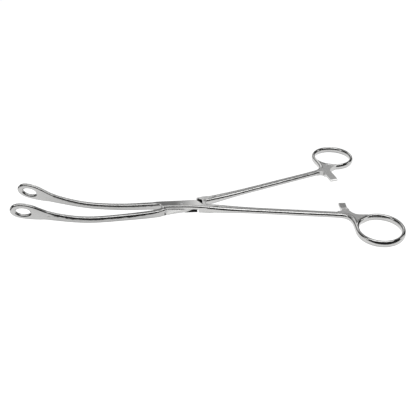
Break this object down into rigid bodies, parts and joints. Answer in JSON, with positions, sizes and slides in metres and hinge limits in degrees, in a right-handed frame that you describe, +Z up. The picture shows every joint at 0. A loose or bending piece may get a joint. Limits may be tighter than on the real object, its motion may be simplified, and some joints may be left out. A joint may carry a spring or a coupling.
{
  "type": "sponge holding forceps",
  "caption": "Ring-handled sponge holding forceps: two long lapped steel halves on a rivet, upward-curved jaws with open oval loops, ratchet arms by the rings.",
  "frame": {"origin": "on the pivot axis, in the plane of the joint's flat underside", "axes": "+X from the pivot towards the finger rings along the closed symmetry line, +Y towards the ring of the lower half, +Z up along the pivot, the way the jaws bend"},
  "size_m": [0.2345, 0.1278, 0.024],
  "materials": {
    "upper_steel": "polished stainless steel",
    "lower_steel": "polished stainless steel",
    "rivet_steel": "satin stainless steel"
  },
  "bodies": {
    "lower_half": {"lower_half": "lower_steel", "pivot_rivet": "rivet_steel"},
    "upper_half": {"upper_half": "upper_steel"}
  },
  "joints": [
    {"name": "jaw_pivot", "type": "hinge", "parent": "lower_half", "child": "upper_half", "pos_m": [0, 0, 0], "axis": [0, 0, 1], "range_deg": [-3, 12.6]}
  ]
}
